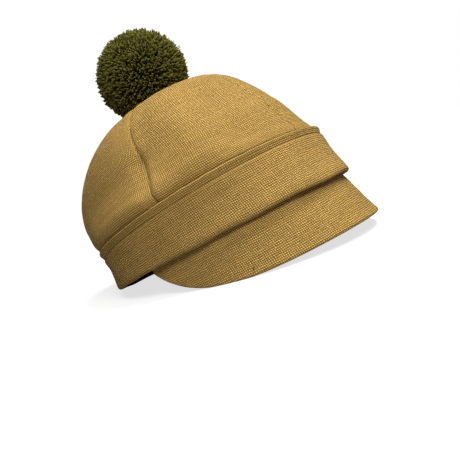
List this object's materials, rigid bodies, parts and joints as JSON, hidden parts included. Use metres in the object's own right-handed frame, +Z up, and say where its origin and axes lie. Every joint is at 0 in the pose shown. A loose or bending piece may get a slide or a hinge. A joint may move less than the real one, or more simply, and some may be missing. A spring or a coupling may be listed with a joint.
{
  "type": "peaked gored wool cap with pompom",
  "caption": "Close-fitting gored woven wool cap with a flared turned-down band, a short cloth-covered peak at the front and a yarn pompom on top.",
  "frame": {"origin": "centre of the bottom of the cap's box, on the surface that it rests on", "axes": "+Z up; the peak points to -Y; the wearer's left is +X"},
  "size_m": [0.1828, 0.2486, 0.198],
  "materials": {
    "mustard_wool": "matt hopsack-woven wool, mustard",
    "olive_yarn": "cut wool yarn, dark olive"
  },
  "bodies": {
    "root": {"gore_front_right": "mustard_wool", "gore_side_right": "mustard_wool", "gore_back": "mustard_wool", "gore_side_left": "mustard_wool", "gore_front_left": "mustard_wool", "band": "mustard_wool", "peak": "mustard_wool", "pompom": "olive_yarn"}
  },
  "joints": []
}
